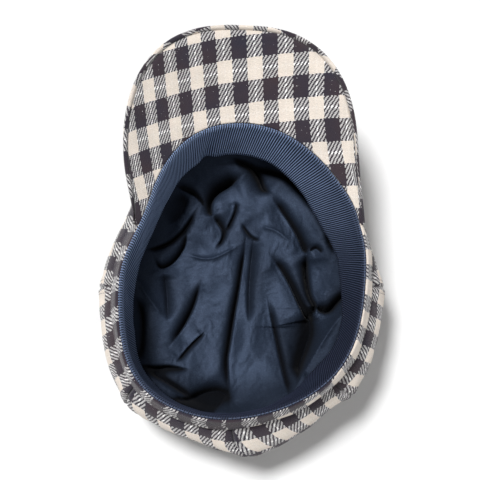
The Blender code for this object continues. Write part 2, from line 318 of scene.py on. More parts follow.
class Shading:
    """Short calls for building one material's nodes."""

    def __init__(self, name):
        self.material = bpy.data.materials.new(name)
        self.material.use_nodes = True
        self.nodes = self.material.node_tree.nodes
        self.links = self.material.node_tree.links
        self.shader = self.nodes["Principled BSDF"]

    def put(self, socket, value):
        if hasattr(value, "is_linked"):
            self.links.new(value, socket)
        else:
            socket.default_value = value

    def math(self, operation, a, b=0.0, c=0.0):
        node = self.nodes.new("ShaderNodeMath")
        node.operation = operation
        for socket, value in zip(node.inputs, (a, b, c)):
            self.put(socket, value)
        return node.outputs[0]

    def times(self, a, b):
        return self.math("MULTIPLY", a, b)

    def wave(self, value, length):
        """A cosine along a distance, from crest to crest in the given length."""
        return self.math("COSINE", self.times(value, 2 * math.pi / length))

    def mix(self, share, first, second, blend="MIX"):
        node = self.nodes.new("ShaderNodeMix")
        node.data_type = "RGBA"
        node.blend_type = blend
        self.put(node.inputs[0], share)
        self.put(node.inputs[6], first)
        self.put(node.inputs[7], second)
        return node.outputs[2]

    def cloth(self):
        node = self.nodes.new("ShaderNodeUVMap")
        node.uv_map = "cloth"
        split = self.nodes.new("ShaderNodeSeparateXYZ")
        self.links.new(node.outputs[0], split.inputs[0])
        return split.outputs[0], split.outputs[1]

    def noise(self, scale, detail=2.0, roughness=0.5):
        place = self.nodes.new("ShaderNodeTexCoord")
        node = self.nodes.new("ShaderNodeTexNoise")
        self.links.new(place.outputs["Object"], node.inputs["Vector"])
        node.inputs["Scale"].default_value = scale
        node.inputs["Detail"].default_value = detail
        node.inputs["Roughness"].default_value = roughness
        return node.outputs[0]

    def spread(self, value, low, high):
        """A 0 to 1 value stretched between low and high."""
        return self.math("MULTIPLY_ADD", value, high - low, low)

    def bump(self, height, distance, strength=1.0, under=None):
        node = self.nodes.new("ShaderNodeBump")
        node.inputs["Strength"].default_value = strength
        node.inputs["Distance"].default_value = distance
        self.links.new(height, node.inputs["Height"])
        if under is not None:
            self.links.new(under, node.inputs["Normal"])
        return node.outputs[0]

    def finish(self, colour, roughness, normal=None, sheen=0.0, specular=0.5, sheen_roughness=0.5):
        self.put(self.shader.inputs["Base Color"], colour)
        self.put(self.shader.inputs["Roughness"], roughness)
        self.shader.inputs["Sheen Weight"].default_value = sheen
        self.shader.inputs["Sheen Roughness"].default_value = sheen_roughness
        self.shader.inputs["Specular IOR Level"].default_value = specular
        if normal is not None:
            self.links.new(normal, self.shader.inputs["Normal"])
        return self.material


WARM_DARK_WOOL = (0.050, 0.029, 0.032, 1)
COOL_DARK_WOOL = (0.020, 0.023, 0.042, 1)
CREAM_WOOL = (0.77, 0.69, 0.61, 1)
PALE_WOOL = (0.53, 0.52, 0.515, 1)
WHITE_WOOL = (0.94, 0.93, 0.92, 1)
WHITE_THREADS = 1.2
WHITE_SHOWS = (1.0, 0.15)
TWILL = 4
THREAD_FLATTENING = -3.2
THREAD_DIP = (0.7, 1.0)
WARP_WANDER = 260
WEFT_WANDER = 310
FLECK_LIMIT = 0.775
FLECK_SHARE = 0.7


def stripe_parts(s, thread):
    """Whether a thread is cream, and whether it is one of the white ones in a cream stripe's middle."""
    number = s.math("FLOORED_MODULO", thread, 2 * STRIPE_THREADS)
    is_cream = s.math("GREATER_THAN", number, STRIPE_THREADS - 0.5)
    from_middle = s.math("ABSOLUTE", s.math("SUBTRACT", number, 1.5 * STRIPE_THREADS - 0.5))
    return is_cream, s.math("LESS_THAN", from_middle, WHITE_THREADS)


def stripe_colour(s, parts, crossing_parts):
    """Colour of a thread: dark, or cream, which looks paler where it crosses dark ones."""
    is_cream, is_white = parts
    cream = s.mix(crossing_parts[0], PALE_WOOL, CREAM_WOOL)
    dark = s.mix(s.noise(48, 2), WARM_DARK_WOOL, COOL_DARK_WOOL)
    shows = s.times(is_white, s.spread(crossing_parts[0], *WHITE_SHOWS))
    return s.mix(shows, s.mix(is_cream, dark, cream), WHITE_WOOL)


def make_check_wool():
    s = Shading("check_wool")
    u, v = s.cloth()

    def thread_number(distance, pitch, scale):
        wander = s.math("SUBTRACT", s.noise(scale, 3), 0.5)
        return s.math("DIVIDE", s.math("MULTIPLY_ADD", wander, THREAD_WANDER, distance), pitch)

    u_thread, v_thread = thread_number(u, WARP_PITCH, WARP_WANDER), thread_number(v, WEFT_PITCH, WEFT_WANDER)
    warp, weft = s.math("FLOOR", u_thread), s.math("FLOOR", v_thread)
    twill = s.math("FLOORED_MODULO", s.math("ADD", warp, weft), TWILL)
    warp_up = s.math("LESS_THAN", twill, TWILL / 2 - 0.5)
    warp_parts, weft_parts = stripe_parts(s, warp), stripe_parts(s, weft)
    weft_colour = stripe_colour(s, weft_parts, warp_parts)
    colour = s.mix(warp_up, weft_colour, stripe_colour(s, warp_parts, weft_parts))

    def roundness(thread):
        offset = s.math("SUBTRACT", s.math("FRACT", thread), 0.5)
        return s.math("SQRT", s.math("MULTIPLY_ADD", s.times(offset, offset), THREAD_FLATTENING, 1.0))

    warp_height = s.times(roundness(u_thread), s.spread(roundness(v_thread), *THREAD_DIP))
    weft_height = s.times(roundness(v_thread), s.spread(roundness(u_thread), *THREAD_DIP))
    warp_part = s.times(warp_up, warp_height)
    weft_part = s.times(s.math("SUBTRACT", 1.0, warp_up), weft_height)
    height = s.math("ADD", warp_part, weft_part)
    fuzz = s.noise(2600, 3, 0.7)
    mottle = s.noise(75, 3)
    # Painted shade between the threads: the colour is darker where each thread's rounded height falls off,
    # times random fuzz and mottle in tone.
    shade = s.times(s.spread(height, 0.45, 1.06), s.spread(fuzz, 0.45, 1.5))
    shade = s.times(shade, s.spread(mottle, 0.84, 1.12))
    grey = s.nodes.new("ShaderNodeCombineColor")
    for socket in grey.inputs:
        s.links.new(shade, socket)
    colour = s.mix(1.0, colour, grey.outputs[0], "MULTIPLY")
    fleck = s.math("GREATER_THAN", s.noise(950, 1), FLECK_LIMIT)
    colour = s.mix(s.times(fleck, FLECK_SHARE), colour, WHITE_WOOL)
    normal = s.bump(fuzz, 0.25 * MM, 0.5, s.bump(height, 0.35 * MM, 0.8))
    return s.finish(colour, s.spread(fuzz, 0.82, 0.98), normal, sheen=0.18, specular=0.25)


RIB_PITCH = 1.7 * MM
RIBBON_LENGTH = 0.575
# Where along the band its painted light is brightest, as a share of its length.
RIBBON_PAINTED_LIGHT_AT = 0.60
RIBBON_CROSS_PITCH = 0.45 * MM
# Near-black painted shade in the grooves between the ribs.
RIBBON_GROOVE_PAINTED_SHADE = (0.001, 0.002, 0.006, 1)
RIBBON_DEEP = (0.032, 0.037, 0.072, 1)
# Lighter colour painted over one stretch of the band, as painted light.
RIBBON_PAINTED_LIGHT = (0.385, 0.525, 0.840, 1)
RIBBON_MOTTLE = (0.012, 0.026, 0.050, 1)


def make_ribbon():
    s = Shading("navy_grosgrain")
    u, v = s.cloth()
    # Painted shade and highlight of the ribs: the colour goes near black in the grooves and lighter on the
    # crests.
    crest = s.math("POWER", s.spread(s.wave(u, RIB_PITCH), 0.5, 1.0), 2.2)
    cross = s.wave(v, RIBBON_CROSS_PITCH)
    fibre = s.noise(3800, 2, 0.6)
    mottle = s.noise(55, 2)
    # Painted light: the ribbon's colour is lighter over one stretch of its length, the front and left, where
    # more light falls.
    place = s.math("MULTIPLY_ADD", u, 2 * math.pi / RIBBON_LENGTH, -2 * math.pi * RIBBON_PAINTED_LIGHT_AT)
    painted_light = s.math("POWER", s.spread(s.math("COSINE", place), 0.5, 1.0), 1.7)
    colour = s.mix(crest, RIBBON_GROOVE_PAINTED_SHADE, s.mix(painted_light, RIBBON_DEEP, RIBBON_PAINTED_LIGHT))
    colour = s.mix(s.times(mottle, 0.3), colour, RIBBON_MOTTLE)
    height = s.math("ADD", s.times(cross, 0.3), fibre)
    normal = s.bump(height, 0.08 * MM, 0.6)
    return s.finish(colour, s.spread(fibre, 0.55, 0.75), normal, specular=0.2)


SATIN_PITCHES = (0.42 * MM, 0.30 * MM)
SATIN_DEEP = (0.013, 0.018, 0.037, 1)
SATIN_LIGHT = (0.025, 0.038, 0.070, 1)
SATIN_SLUB = (0.055, 0.085, 0.135, 1)
# Near-black colour of the painted shade in the lining's creases and where it tucks under the band, with how
# strongly it is mixed in.
SATIN_PAINTED_SHADE = (0.0010, 0.0011, 0.0022, 1)
PAINTED_SHADE_DEPTH = 0.93
CREASE_DULL = 0.35
SATIN_METALLIC = 0.6


def make_satin():
    s = Shading("navy_taffeta")
    u, v = s.cloth()
    across, along = s.wave(u, SATIN_PITCHES[0]), s.wave(v, SATIN_PITCHES[1])
    slub = s.noise(900, 3, 0.6)
    colour = s.mix(s.noise(42, 3), SATIN_DEEP, SATIN_LIGHT)
    colour = s.mix(s.math("POWER", s.noise(1100, 2, 0.6), 2.0), colour, SATIN_SLUB)
    # The crease attribute carries painted shade, and the satin's colour is mixed towards near black by it.
    crease = s.nodes.new("ShaderNodeAttribute")
    crease.attribute_name = "crease"
    colour = s.mix(s.times(crease.outputs["Fac"], PAINTED_SHADE_DEPTH), colour, SATIN_PAINTED_SHADE)
    height = s.math("ADD", s.times(s.math("ADD", across, along), 0.25), slub)
    normal = s.bump(height, 0.06 * MM, 0.7)
    s.shader.inputs["Metallic"].default_value = SATIN_METALLIC
    roughness = s.math("MULTIPLY_ADD", crease.outputs["Fac"], CREASE_DULL, s.spread(slub, 0.52, 0.66))
    return s.finish(colour, roughness, normal, sheen=0.03, specular=0.3, sheen_roughness=0.3)


DARK_THREAD = (0.16, 0.13, 0.14, 1)
NAVY_THREAD = (0.05, 0.075, 0.14, 1)
THREAD_LIGHTER = 1.35


def make_thread(name, colour):
    s = Shading(name)
    fibre = s.noise(5200, 2, 0.7)
    light = tuple(min(1, THREAD_LIGHTER * part) for part in colour[:3]) + (1,)
    normal = s.bump(fibre, 0.05 * MM, 0.6)
    return s.finish(s.mix(fibre, colour, light), 0.6, normal, sheen=0.2)


BUCKRAM = {
    "name": "buckram_weave",
    "scale": (1500, 2),
    "colours": ((0.62, 0.59, 0.50, 1), (0.78, 0.75, 0.67, 1)),
    "roughness": (0.8, 0.95),
    "relief": (0.15 * MM, 0.7),
}
BOARD = {
    "name": "visor_board_sheet",
    "scale": (700, 3),
    "colours": ((0.09, 0.09, 0.10, 1), (0.15, 0.15, 0.16, 1)),
    "roughness": (0.5, 0.7),
    "relief": (0.1 * MM, 0.4),
}
STEEL = {
    "name": "pressed_steel",
    "scale": (1200, 3),
    "colours": ((0.58, 0.58, 0.57, 1), (0.72, 0.72, 0.70, 1)),
    "roughness": (0.28, 0.45),
    "relief": (0.02 * MM, 0.5),
    "metallic": 1.0,
}


def make_grained(name, scale, colours, roughness, relief, metallic=0.0):
    """A plain stuff with a fine grain that turns its colour, roughness and relief."""
    s = Shading(name)
    grain = s.noise(*scale, 0.6)
    s.shader.inputs["Metallic"].default_value = metallic
    return s.finish(s.mix(grain, *colours), s.spread(grain, *roughness), s.bump(grain, *relief))


# ---- crown ----


def bezier(start, leave, arrive, end, steps):
    t = np.linspace(0, 1, steps + 1)[None, :]
    s = 1 - t

    def one(k):
        parts = [np.asarray(p[k], float).reshape(-1, 1) for p in (start, leave, arrive, end)]
        return s**3 * parts[0] + 3 * s * s * t * parts[1] + 3 * s * t * t * parts[2] + t**3 * parts[3]

    return one(0), one(1)


BAND_TUCK = (0.0022, 0.0012)
SIDE_STEPS = 26
TOP_STEPS = 22
CENTRE_RADIUS = 0.0032


def crown_profile(angle):
    """Radius and height from the band seam to the button, one row for each angle."""
    zero = np.zeros_like(angle)
    opening = opening_radius(angle)
    top = (opening + BAND_FLARE - BAND_TUCK[0], rim_level(angle) - BAND_HEIGHT - BAND_TUCK[1])
    equator = (equator_radius(angle), zero + EQUATOR_HEIGHT)
    flat = (FLAT_SHARE * opening, zero)
    drop = top[1] - equator[1]
    # Each curve's two handles stand at shares of the way between its ends.
    leave = ((top[0] * 0.35 + equator[0] * 0.65), top[1] - 0.12 * drop)
    arrive = (equator[0], top[1] - 0.55 * drop)
    r1, z1 = bezier(top, leave, arrive, equator, SIDE_STEPS)
    leave = (equator[0], 0.40 * equator[1])
    arrive = (flat[0] + 0.45 * (equator[0] - flat[0]), zero)
    r2, z2 = bezier(equator, leave, arrive, flat, SIDE_STEPS)
    share = np.linspace(0, 1, TOP_STEPS)[None, 1:]
    r3 = flat[0][:, None] + share * (CENTRE_RADIUS - flat[0][:, None])
    z3 = DIMPLE_DEPTH * smooth_step(DIMPLE_RADIUS, DIMPLE_FLOOR_RADIUS, r3)
    radius = np.concatenate([r1, r2[:, 1:], r3], axis=1)
    height = np.concatenate([z1, z2[:, 1:], z3], axis=1)
    return radius, height


GORE_STEPS = 44
GORE_CROWDING = 1.25
GORE_THICKNESS = 0.9 * MM
SEAM_STITCH = 4.7 * MM
SEAM_STITCH_LEAST = 0.25
SEAM_STITCH_SIZES = (2.6 * MM, 3.4 * MM, 0.22 * MM)
SEAM_GROOVE = -1.5 * MM
ALLOWANCE_RISE = 0.45 * MM
STITCH_DIP = -0.4 * MM
LUMP_RISE = 1.3 * MM
WRINKLE_RISE = 0.35 * MM
PUCKER_RISE = 0.55 * MM
PUCKER_REACH = 9 * MM
TABLE_CLEARANCE = 0.2 * MM
GORE_ROW_START = 3.5
GORE_ROW_CHANGE = 1.0


def gore_relief(points, angle, radius, height, from_seam):
    """How far a gore's cloth stands off the smooth crown: at its seams, in its lumps and its gathers."""
    groove = SEAM_GROOVE * bump(from_seam, 0, 1.1 * MM)
    allowance = ALLOWANCE_RISE * smooth_step(0.5 * MM, 2.0 * MM, from_seam)
    allowance *= smooth_step(9 * MM, 6 * MM, from_seam)
    stitch_line = STITCH_DIP * bump(from_seam, SEAM_STITCH, 0.7 * MM)
    lumps = LUMP_RISE * ripple(points, 70 * MM, 11)
    wrinkles = WRINKLE_RISE * ripple(points, 16 * MM, 12)
    gather = np.sin(angle * 57 + 3 * np.sin(angle * 9)) * (0.6 + 0.4 * np.sin(angle * 13 + 1))
    pucker = PUCKER_RISE * gather[:, None] * np.exp(-arc_length(points) / PUCKER_REACH)
    free = smooth_step(0.0, 0.012, height)
    shift = groove + allowance + stitch_line + wrinkles + (lumps + pucker) * (0.15 + 0.85 * free)
    return shift * smooth_step(0.004, 0.012, radius)


def add_gore_stitches(name, edge, side, points, outward, half_width, thread):
    """The topstitching beside one seam, down to where the gore grows too narrow for it."""
    path, up = [], []
    for column in range(2, points.shape[1] - 16):
        wanted = 1 - SEAM_STITCH / half_width[GORE_STEPS // 2, column]
        if wanted < SEAM_STITCH_LEAST:
            break
        row = np.interp(edge * wanted, side, np.arange(len(side)))
        low = int(row)
        share = row - low
        path.append(points[low, column] * (1 - share) + points[low + 1, column] * share)
        up.append(outward[low, column] * (1 - share) + outward[low + 1, column] * share)
    path, up = np.array(path), np.array(up)
    add_stitches(name, path + up * 0.1 * MM, up, thread, "wool_check", SEAM_STITCH_SIZES)


def add_gore(number, wool, thread):
    half = math.pi / GORES
    middle = math.pi / 2 + 2 * number * half + half
    side = np.linspace(-1, 1, GORE_STEPS + 1)
    side = np.sign(side) * (1 - (1 - np.abs(side)) ** GORE_CROWDING)
    angle = middle + side * half
    radius, height = crown_profile(angle)
    points = cylindrical(radius, angle[:, None], height)
    normal = grid_normals(points)
    if (normal[..., 2] * (height - EQUATOR_HEIGHT)).mean() < 0:
        normal = -normal
    along = arc_length(points)
    from_seam = (1 - np.abs(side))[:, None] * half * radius
    points = points + normal * gore_relief(points, angle, radius, height, from_seam)[..., None]
    points[..., 2] = np.maximum(points[..., 2], TABLE_CLEARANCE)
    across = (angle - middle)[:, None] * radius
    row_start = (GORE_ROW_START + GORE_ROW_CHANGE * math.sin(2.3 * number)) * MM
    cloth = np.stack([across + CHECK_WIDTH / 4, along + row_start], axis=-1)
    points = lie(points)
    piece = add_grid(f"crown_gore_{number + 1}", points, cloth, wool, thickness=GORE_THICKNESS)
    outward = grid_normals(points)
    if outward[2, 10] @ np.array([math.cos(angle[2]), math.sin(angle[2]), 0.2]) < 0:
        outward = -outward
        piece.data.flip_normals()
    finish_piece(piece, "wool_check", f"crown_panel_{number + 1}")
    for edge, label in ((-1, "a"), (1, "b")):
        name = f"crown_stitching_{number + 1}{label}"
        add_gore_stitches(name, edge, side, points, outward, half * radius, thread)


# ---- bands round the opening ----


def ring_angles(count):
    return math.pi / 2 + 2 * math.pi * np.arange(count) / count


def ring_arc(angle):
    """Distance round the opening at each angle."""
    return path_distance(cylindrical(opening_radius(angle), angle, rim_level(angle)))


def away_from_hub(angle):
    return np.stack([np.cos(angle), np.sin(angle), 0 * angle], -1)[:, None]


def smooth_profile(points, count):
    """A rounded path through profile points, by length, as two arrays."""
    points = np.array(points, float)
    at = path_distance(points)
    wanted = np.linspace(0, at[-1], count)
    both = [np.interp(wanted, at, points[:, axis]) for axis in (0, 1)]
    for _ in range(3):
        for part in both:
            part[1:-1] = (part[:-2] + 2 * part[1:-1] + part[2:]) / 4
    return both


def degree_step(low, high, angle):
    return smooth_step(math.radians(low), math.radians(high), angle)


# Each profile runs from inside the cap over the rim, as (outward, depth below the rim) in millimetres.
BAND_END = BAND_HEIGHT / MM
HEADBAND_PROFILE = [(-2.2, 6.0), (-1.9, 2.0), (-1.3, 0.5), (-0.4, 0.0), (0.5, 0.25), (1.1, 1.2), (3.0, 8.0)]
HEADBAND_PROFILE += [(5.0, BAND_END - 2.2), (5.9, BAND_END - 1.2), (6.3, BAND_END - 0.4)]
HEADBAND_PROFILE += [(6.0, BAND_END + 0.4), (5.0, BAND_END + 0.7), (3.2, BAND_END + 0.2)]
HEADBAND_STEPS = 720
HEADBAND_THICKNESS = 0.8 * MM
HEADBAND_WAVE = 0.5 * MM
HEADBAND_CHECK_START = 4.0 * MM
HEADBAND_CHECK_SCALE = 0.72
UNDER_VISOR = (0.036, 0.052)
UNDER_VISOR_DEPTH = 5.2


def add_headband(wool):
    angle = ring_angles(HEADBAND_STEPS)
    arc = ring_arc(angle)
    outward, depth = smooth_profile(HEADBAND_PROFILE, 44)
    opening = opening_radius(angle)
    under_visor = smooth_step(*UNDER_VISOR, -opening * np.sin(angle))
    lowered = under_visor[:, None] * np.clip(UNDER_VISOR_DEPTH - depth[None, :], 0, 6)
    radius = opening[:, None] + outward[None, :] * MM
    height = rim_level(angle)[:, None] - (depth[None, :] + lowered) * MM
    points = cylindrical(radius, angle[:, None], height)
    wave = HEADBAND_WAVE * ripple(points, 45 * MM, 21)
    points[..., 2] += 0.6 * wave
    points += wave[..., None] * away_from_hub(angle)
    length = arc_length(points[:1])[0]
    drift = degree_step(95, 150, angle) * degree_step(265, 225, angle)
    across = (length[None, :] - HEADBAND_CHECK_START) * HEADBAND_CHECK_SCALE + drift[:, None] * CHECK_LENGTH / 2
    cloth = np.stack([np.broadcast_to(arc[:, None], radius.shape), across], axis=-1)
    piece = add_grid("headband_cloth", lie(points), cloth, wool, thickness=HEADBAND_THICKNESS, wrap=True)
    piece.data.flip_normals()
    finish_piece(piece, "wool_check", "headband")


SWEATBAND_PROFILE = [(-3.4, 4.0), (-1.6, 1.6), (-0.6, 0.9), (-0.2, 0.1)]
SWEATBAND_PROFILE += [(-0.7, -0.5), (-1.7, -0.6), (-2.6, 0.0), (-3.2, 1.2)]
SWEATBAND_THICKNESS = 0.5 * MM
SWEATBAND_STITCH_SIZES = (2.3 * MM, 2.7 * MM, 0.3 * MM)
ROLL_STEPS = 13
SWEAT_DEPTH = 30 * MM
# Rises of the sweatband are towards the hub.
RIB_RISE = 0.34 * MM
RIB_STEPS = 6
RIB_SLANT = 0.22
SWEATBAND_WAVE = 1.2 * MM
FOLD_RISE = -3.2 * MM
FOLD_ANGLE = math.radians(281)
FOLD_WIDTH = 0.050


def sweatband_lean(angle):
    """How far inwards the ribbon's free edge leans, in millimetres."""
    lean = 9.5 - 2.8 * np.sin(angle) - 1.8 * np.cos(angle)
    lean = lean - 5.0 * bump(np.sin(angle - math.radians(-20)), 1, 0.45)
    return lean - 2.8 * bump(np.cos(angle - math.radians(35)), 1, 0.30)


def slanted(points, turn):
    """The points turned round the hub, each by its own angle."""
    x, y = points[..., 0], points[..., 1] - HUB_Y
    cos, sin = np.cos(turn), np.sin(turn)
    return np.stack([x * cos - y * sin, x * sin + y * cos + HUB_Y, points[..., 2]], axis=-1)


def add_sweatband(ribbon, thread):
    rough = 2880
    total = ring_arc(ring_angles(rough))[-1] * rough / (rough - 1)
    ribs = round(total / RIB_PITCH)
    angle = ring_angles(ribs * RIB_STEPS)
    arc = ring_arc(angle)
    roll = smooth_profile(SWEATBAND_PROFILE, ROLL_STEPS)
    roll_out, roll_down = (np.broadcast_to(part, (len(angle), ROLL_STEPS)) for part in roll)
    shares = np.linspace(0, 1, 15)[1:]
    end_out, end_down = SWEATBAND_PROFILE[-1]
    hang_out = end_out - (shares[None, :] ** 1.15) * sweatband_lean(angle)[:, None]
    hang_down = end_down + shares[None, :] * (SWEAT_DEPTH / MM - end_down) * np.ones_like(angle)[:, None]
    outward = np.concatenate([roll_out, hang_out], axis=1)
    depth = np.concatenate([roll_down, hang_down], axis=1)
    radius = opening_radius(angle)[:, None] + outward * MM
    points = cylindrical(radius, angle[:, None], rim_level(angle)[:, None] - depth * MM)
    rib_phase = 2 * math.pi * arc / (total / ribs)
    rib = RIB_RISE * np.cos(rib_phase)[:, None] * smooth_step(0.0, 1.5, depth)
    wave = SWEATBAND_WAVE * ripple(points, 60 * MM, 31) * smooth_step(2, 22, depth)
    fold = FOLD_RISE * bump(angle % (2 * math.pi), FOLD_ANGLE, FOLD_WIDTH)[:, None]
    points = points - away_from_hub(angle) * (rib + wave + fold * smooth_step(5, 26, depth))[..., None]
    points = lie(slanted(points, RIB_SLANT * np.clip(depth, 0, 40) * MM / radius))
    along = np.broadcast_to((arc * ribs * RIB_PITCH / total)[:, None], radius.shape)
    cloth = np.stack([along, depth * MM], axis=-1)
    piece = add_grid("sweatband_ribbon", points, cloth, ribbon, thickness=SWEATBAND_THICKNESS, wrap=True)
    finish_piece(piece, "navy_ribbon", "sweatband")
    path = points[:: 2 * RIB_STEPS, 9]
    up = np.tile(np.array([0.0, 0.0, 1.0]), (len(path), 1))
    path = path + up * 0.15 * MM
    add_stitches("sweatband_stitching", path, up, thread, "navy_ribbon", SWEATBAND_STITCH_SIZES)


# ---- lining ----

# Each crease of the lining: how steep it is, which also sets how dark its painted shade is, then its line as
# (x, forward, half width) in millimetres.
CREASES = [
    (4.4, [(-4, 43, 1.0), (-1, 23, 1.3), (2, 3, 1.5), (6, -18, 1.8), (9, -38, 1.8), (11, -50, 1.5),
           (8, -84, 2.2)]),
    (1.7, [(-10, 44, 3.5), (-7, 19, 4.2), (-6, 0, 4.2), (-6, -22, 3.0)]),
    (3.6, [(-1, 53, 0.8), (-7, 44, 1.5), (-14, 41, 0.8)]),
    (4.4, [(-21, 31, 0.8), (-31, 19, 1.9), (-38, 6, 2.0), (-44, -8, 2.2), (-49, -17, 2.5), (-55, -19, 2.0)]),
    (4.2, [(8, 101, 1.0), (-2, 99, 2.4), (-10, 96, 3.0), (-15, 88, 3.4), (-17, 81, 3.0), (-23, 74, 1.4)]),
    (4.4, [(-23, 74, 1.4), (-31, 63, 1.6), (-37, 54, 1.5), (-43, 44, 2.0), (-47, 34, 2.2), (-50, 30, 2.0)]),
    (4.6, [(-49, 34, 2.4), (-49, 19, 3.0), (-50, 7, 2.8), (-52, -3, 2.0), (-56, -9, 2.0), (-52, -18, 3.0)]),
    (4.2, [(-51, 32, 0.9), (-56, 35, 1.0), (-60, 30, 0.7)]),
    (4.2, [(-49, -10, 3.0), (-53, -24, 9.0), (-49, -38, 8.0), (-44, -50, 5.0), (-40, -66, 1.6)]),
    (4.2, [(-54, -8, 2.0), (-64, -15, 3.0), (-72, -5, 2.6), (-80, 2, 1.8)]),
    (4.2, [(2, 99, 2.4), (-19, 95, 2.2), (-35, 88, 2.0), (-48, 76, 2.0), (-59, 63, 1.8), (-66, 49, 2.2),
           (-69, 38, 3.0), (-67, 26, 2.0)]),
    (2.8, [(-20, -2, 0.9), (-24, -22, 1.8), (-28, -41, 2.0), (-32, -62, 2.0), (-35, -76, 1.4)]),
    (4.2, [(-2, 89, 1.4), (9, 83, 3.4), (18, 78, 3.5), (23, 70, 2.6), (23, 62, 2.0), (21, 57, 1.2)]),
    (4.2, [(22, 60, 1.2), (16, 53, 2.0), (13, 48, 1.7), (14, 41, 1.3), (20, 33, 0.8)]),
    (4.2, [(12, 47, 1.4), (7, 56, 1.2), (4, 64, 1.1), (4, 69, 0.7)]),
    (4.2, [(48, 78, 1.0), (38, 76, 1.6), (32, 72, 1.2), (27, 65, 0.8)]),
    (1.7, [(46, 76, 3.0), (41, 69, 6.0), (44, 60, 5.0), (54, 50, 3.0)]),
    (4.2, [(31, 66, 1.0), (40, 53, 1.8), (45, 46, 2.0), (53, 38, 1.8), (62, 34, 1.3), (70, 31, 1.0)]),
    (4.2, [(41, 48, 0.7), (41, 38, 1.1), (46, 29, 1.3), (52, 22, 1.3), (60, 18, 1.3), (64, 26, 1.0)]),
    (1.7, [(57, 15, 3.5), (55, 0, 5.0), (54, -20, 2.0)]),
    (3.6, [(30, 10, 0.8), (35, -8, 2.0), (42, -22, 2.0), (52, -38, 1.0)]),
    (4.2, [(27, -28, 0.7), (37, -37, 1.3), (47, -50, 1.0)]),
    (4.2, [(74, -52, 1.2), (62, -55, 2.8), (53, -53, 2.2), (37, -56, 0.8)]),
    (4.2, [(66, -57, 1.8), (53, -65, 1.6), (36, -76, 1.5)]),
    (3.6, [(58, -75, 2.5), (40, -79, 5.0), (26, -72, 9.0), (14, -71, 9.0), (5, -79, 3.0)]),
    (2.0, [(77, -1, 2.5), (72, -18, 4.0), (72, -40, 4.0), (76, -51, 2.0)]),
    (4.0, [(80, -46, 1.5), (69, -67, 3.0), (53, -82, 4.0), (34, -90, 5.0), (8, -93, 3.0)]),
]
RIDGES = [
    (1.4, [(40, 30, 1.2), (28, 26, 1.6), (17, 27, 1.6), (-2, 39, 1.2)]),
    (1.2, [(77, 12, 2.0), (68, -3, 2.4), (57, -17, 2.0)]),
    (1.5, [(78, -48, 3.0), (63, -62, 4.0), (48, -72, 4.0), (31, -81, 3.0)]),
    (1.6, [(-77, -11, 3.0), (-68, -22, 3.6), (-56, -40, 3.6), (-47, -55, 3.4), (-38, -70, 2.0)]),
    (1.1, [(-16, 50, 1.5), (-26, 48, 1.5), (-36, 40, 1.2)]),
]
# The creases are read from a plan, which is scaled about its middle and shifted to fit the cap.
PLAN_SCALE = 0.975
PLAN_MIDDLE = 41
PLAN_SHIFT = 3.5
STEP_SHARE = 0.45
STEP_REACH = 9
LAID_SHARE = 0.35
CREASE_SHARPNESS = 1.3
SHADE_STEEPNESS = 3


def rounded_line(line, repeats=2):
    """The chain with its corners cut, so that a crease runs in a curve."""
    line = np.array(line, float)
    for _ in range(repeats):
        middle = []
        for start, end in zip(line, line[1:]):
            middle += [0.75 * start + 0.25 * end, 0.25 * start + 0.75 * end]
        line = np.array([line[0], *middle[1:-1], line[-1]])
    return line


def distance_to_line(x, forward, line):
    """Distance to a chain of points, its side, the half width there, and the share of the way along."""
    best = np.full(x.shape, 1e9)
    side = np.zeros(x.shape)
    width = np.ones(x.shape)
    share = np.zeros(x.shape)
    for number, (start, end) in enumerate(zip(line, line[1:])):
        along = end - start
        length = np.hypot(along[0], along[1])
        t = np.clip(((x - start[0]) * along[0] + (forward - start[1]) * along[1]) / length**2, 0, 1)
        off_x, off_forward = x - start[0] - t * along[0], forward - start[1] - t * along[1]
        distance = np.hypot(off_x, off_forward)
        nearer = distance < best
        best = np.where(nearer, distance, best)
        side = np.where(nearer, np.sign(along[0] * off_forward - along[1] * off_x), side)
        width = np.where(nearer, start[2] + t * along[2], width)
        share = np.where(nearer, (number + t) / (len(line) - 1), share)
    return best, side, width, share


STEEP_SIDE = 0.42
SLACK_SIDE = 1.7
WIDEST = 3.6


def crease_relief(points, laid_in):
    """Height that the creases and ridges add: broad and soft as it is laid in, and crisp afterwards. Once
    crisp, it also gives the painted shade that darkens the creases' colour.
    """
    x = points[..., 0] / MM / PLAN_SCALE
    forward = ((HUB_Y - points[..., 1]) / MM + PLAN_SHIFT - PLAN_MIDDLE) / PLAN_SCALE + PLAN_MIDDLE
    total, shade = np.zeros(x.shape), np.zeros(x.shape)
    for sign, group in ((-1, CREASES), (1, RIDGES)):
        for number, (steepness, line) in enumerate(group):
            distance, side, width, share = distance_to_line(x, forward, rounded_line(line))
            ends = 0.1 + 0.9 * smooth_step(0.0, 0.12, share) * smooth_step(1.0, 0.88, share)
            step, reach = 0.0, width
            if sign < 0:
                over = side * (1 if number % 2 else -1)
                rise = np.tanh(over * distance / (0.7 * width + 1))
                step = STEP_SHARE * rise * np.exp(-distance / STEP_REACH)
                reach = width * np.where(over > 0, STEEP_SIDE, SLACK_SIDE)
            if laid_in:
                shape = LAID_SHARE * np.exp(-distance / (width + 4)) + step
            else:
                shape = np.exp(-((distance / reach) ** CREASE_SHARPNESS))
                # Painted shade: the steeper the crease, the darker its colour is painted.
                shade += (sign < 0) * (steepness / SHADE_STEEPNESS) * shape * ends
            total += sign * steepness * np.minimum(width, WIDEST) * shape * ends
    return total * MM, np.clip(shade, 0, 1)


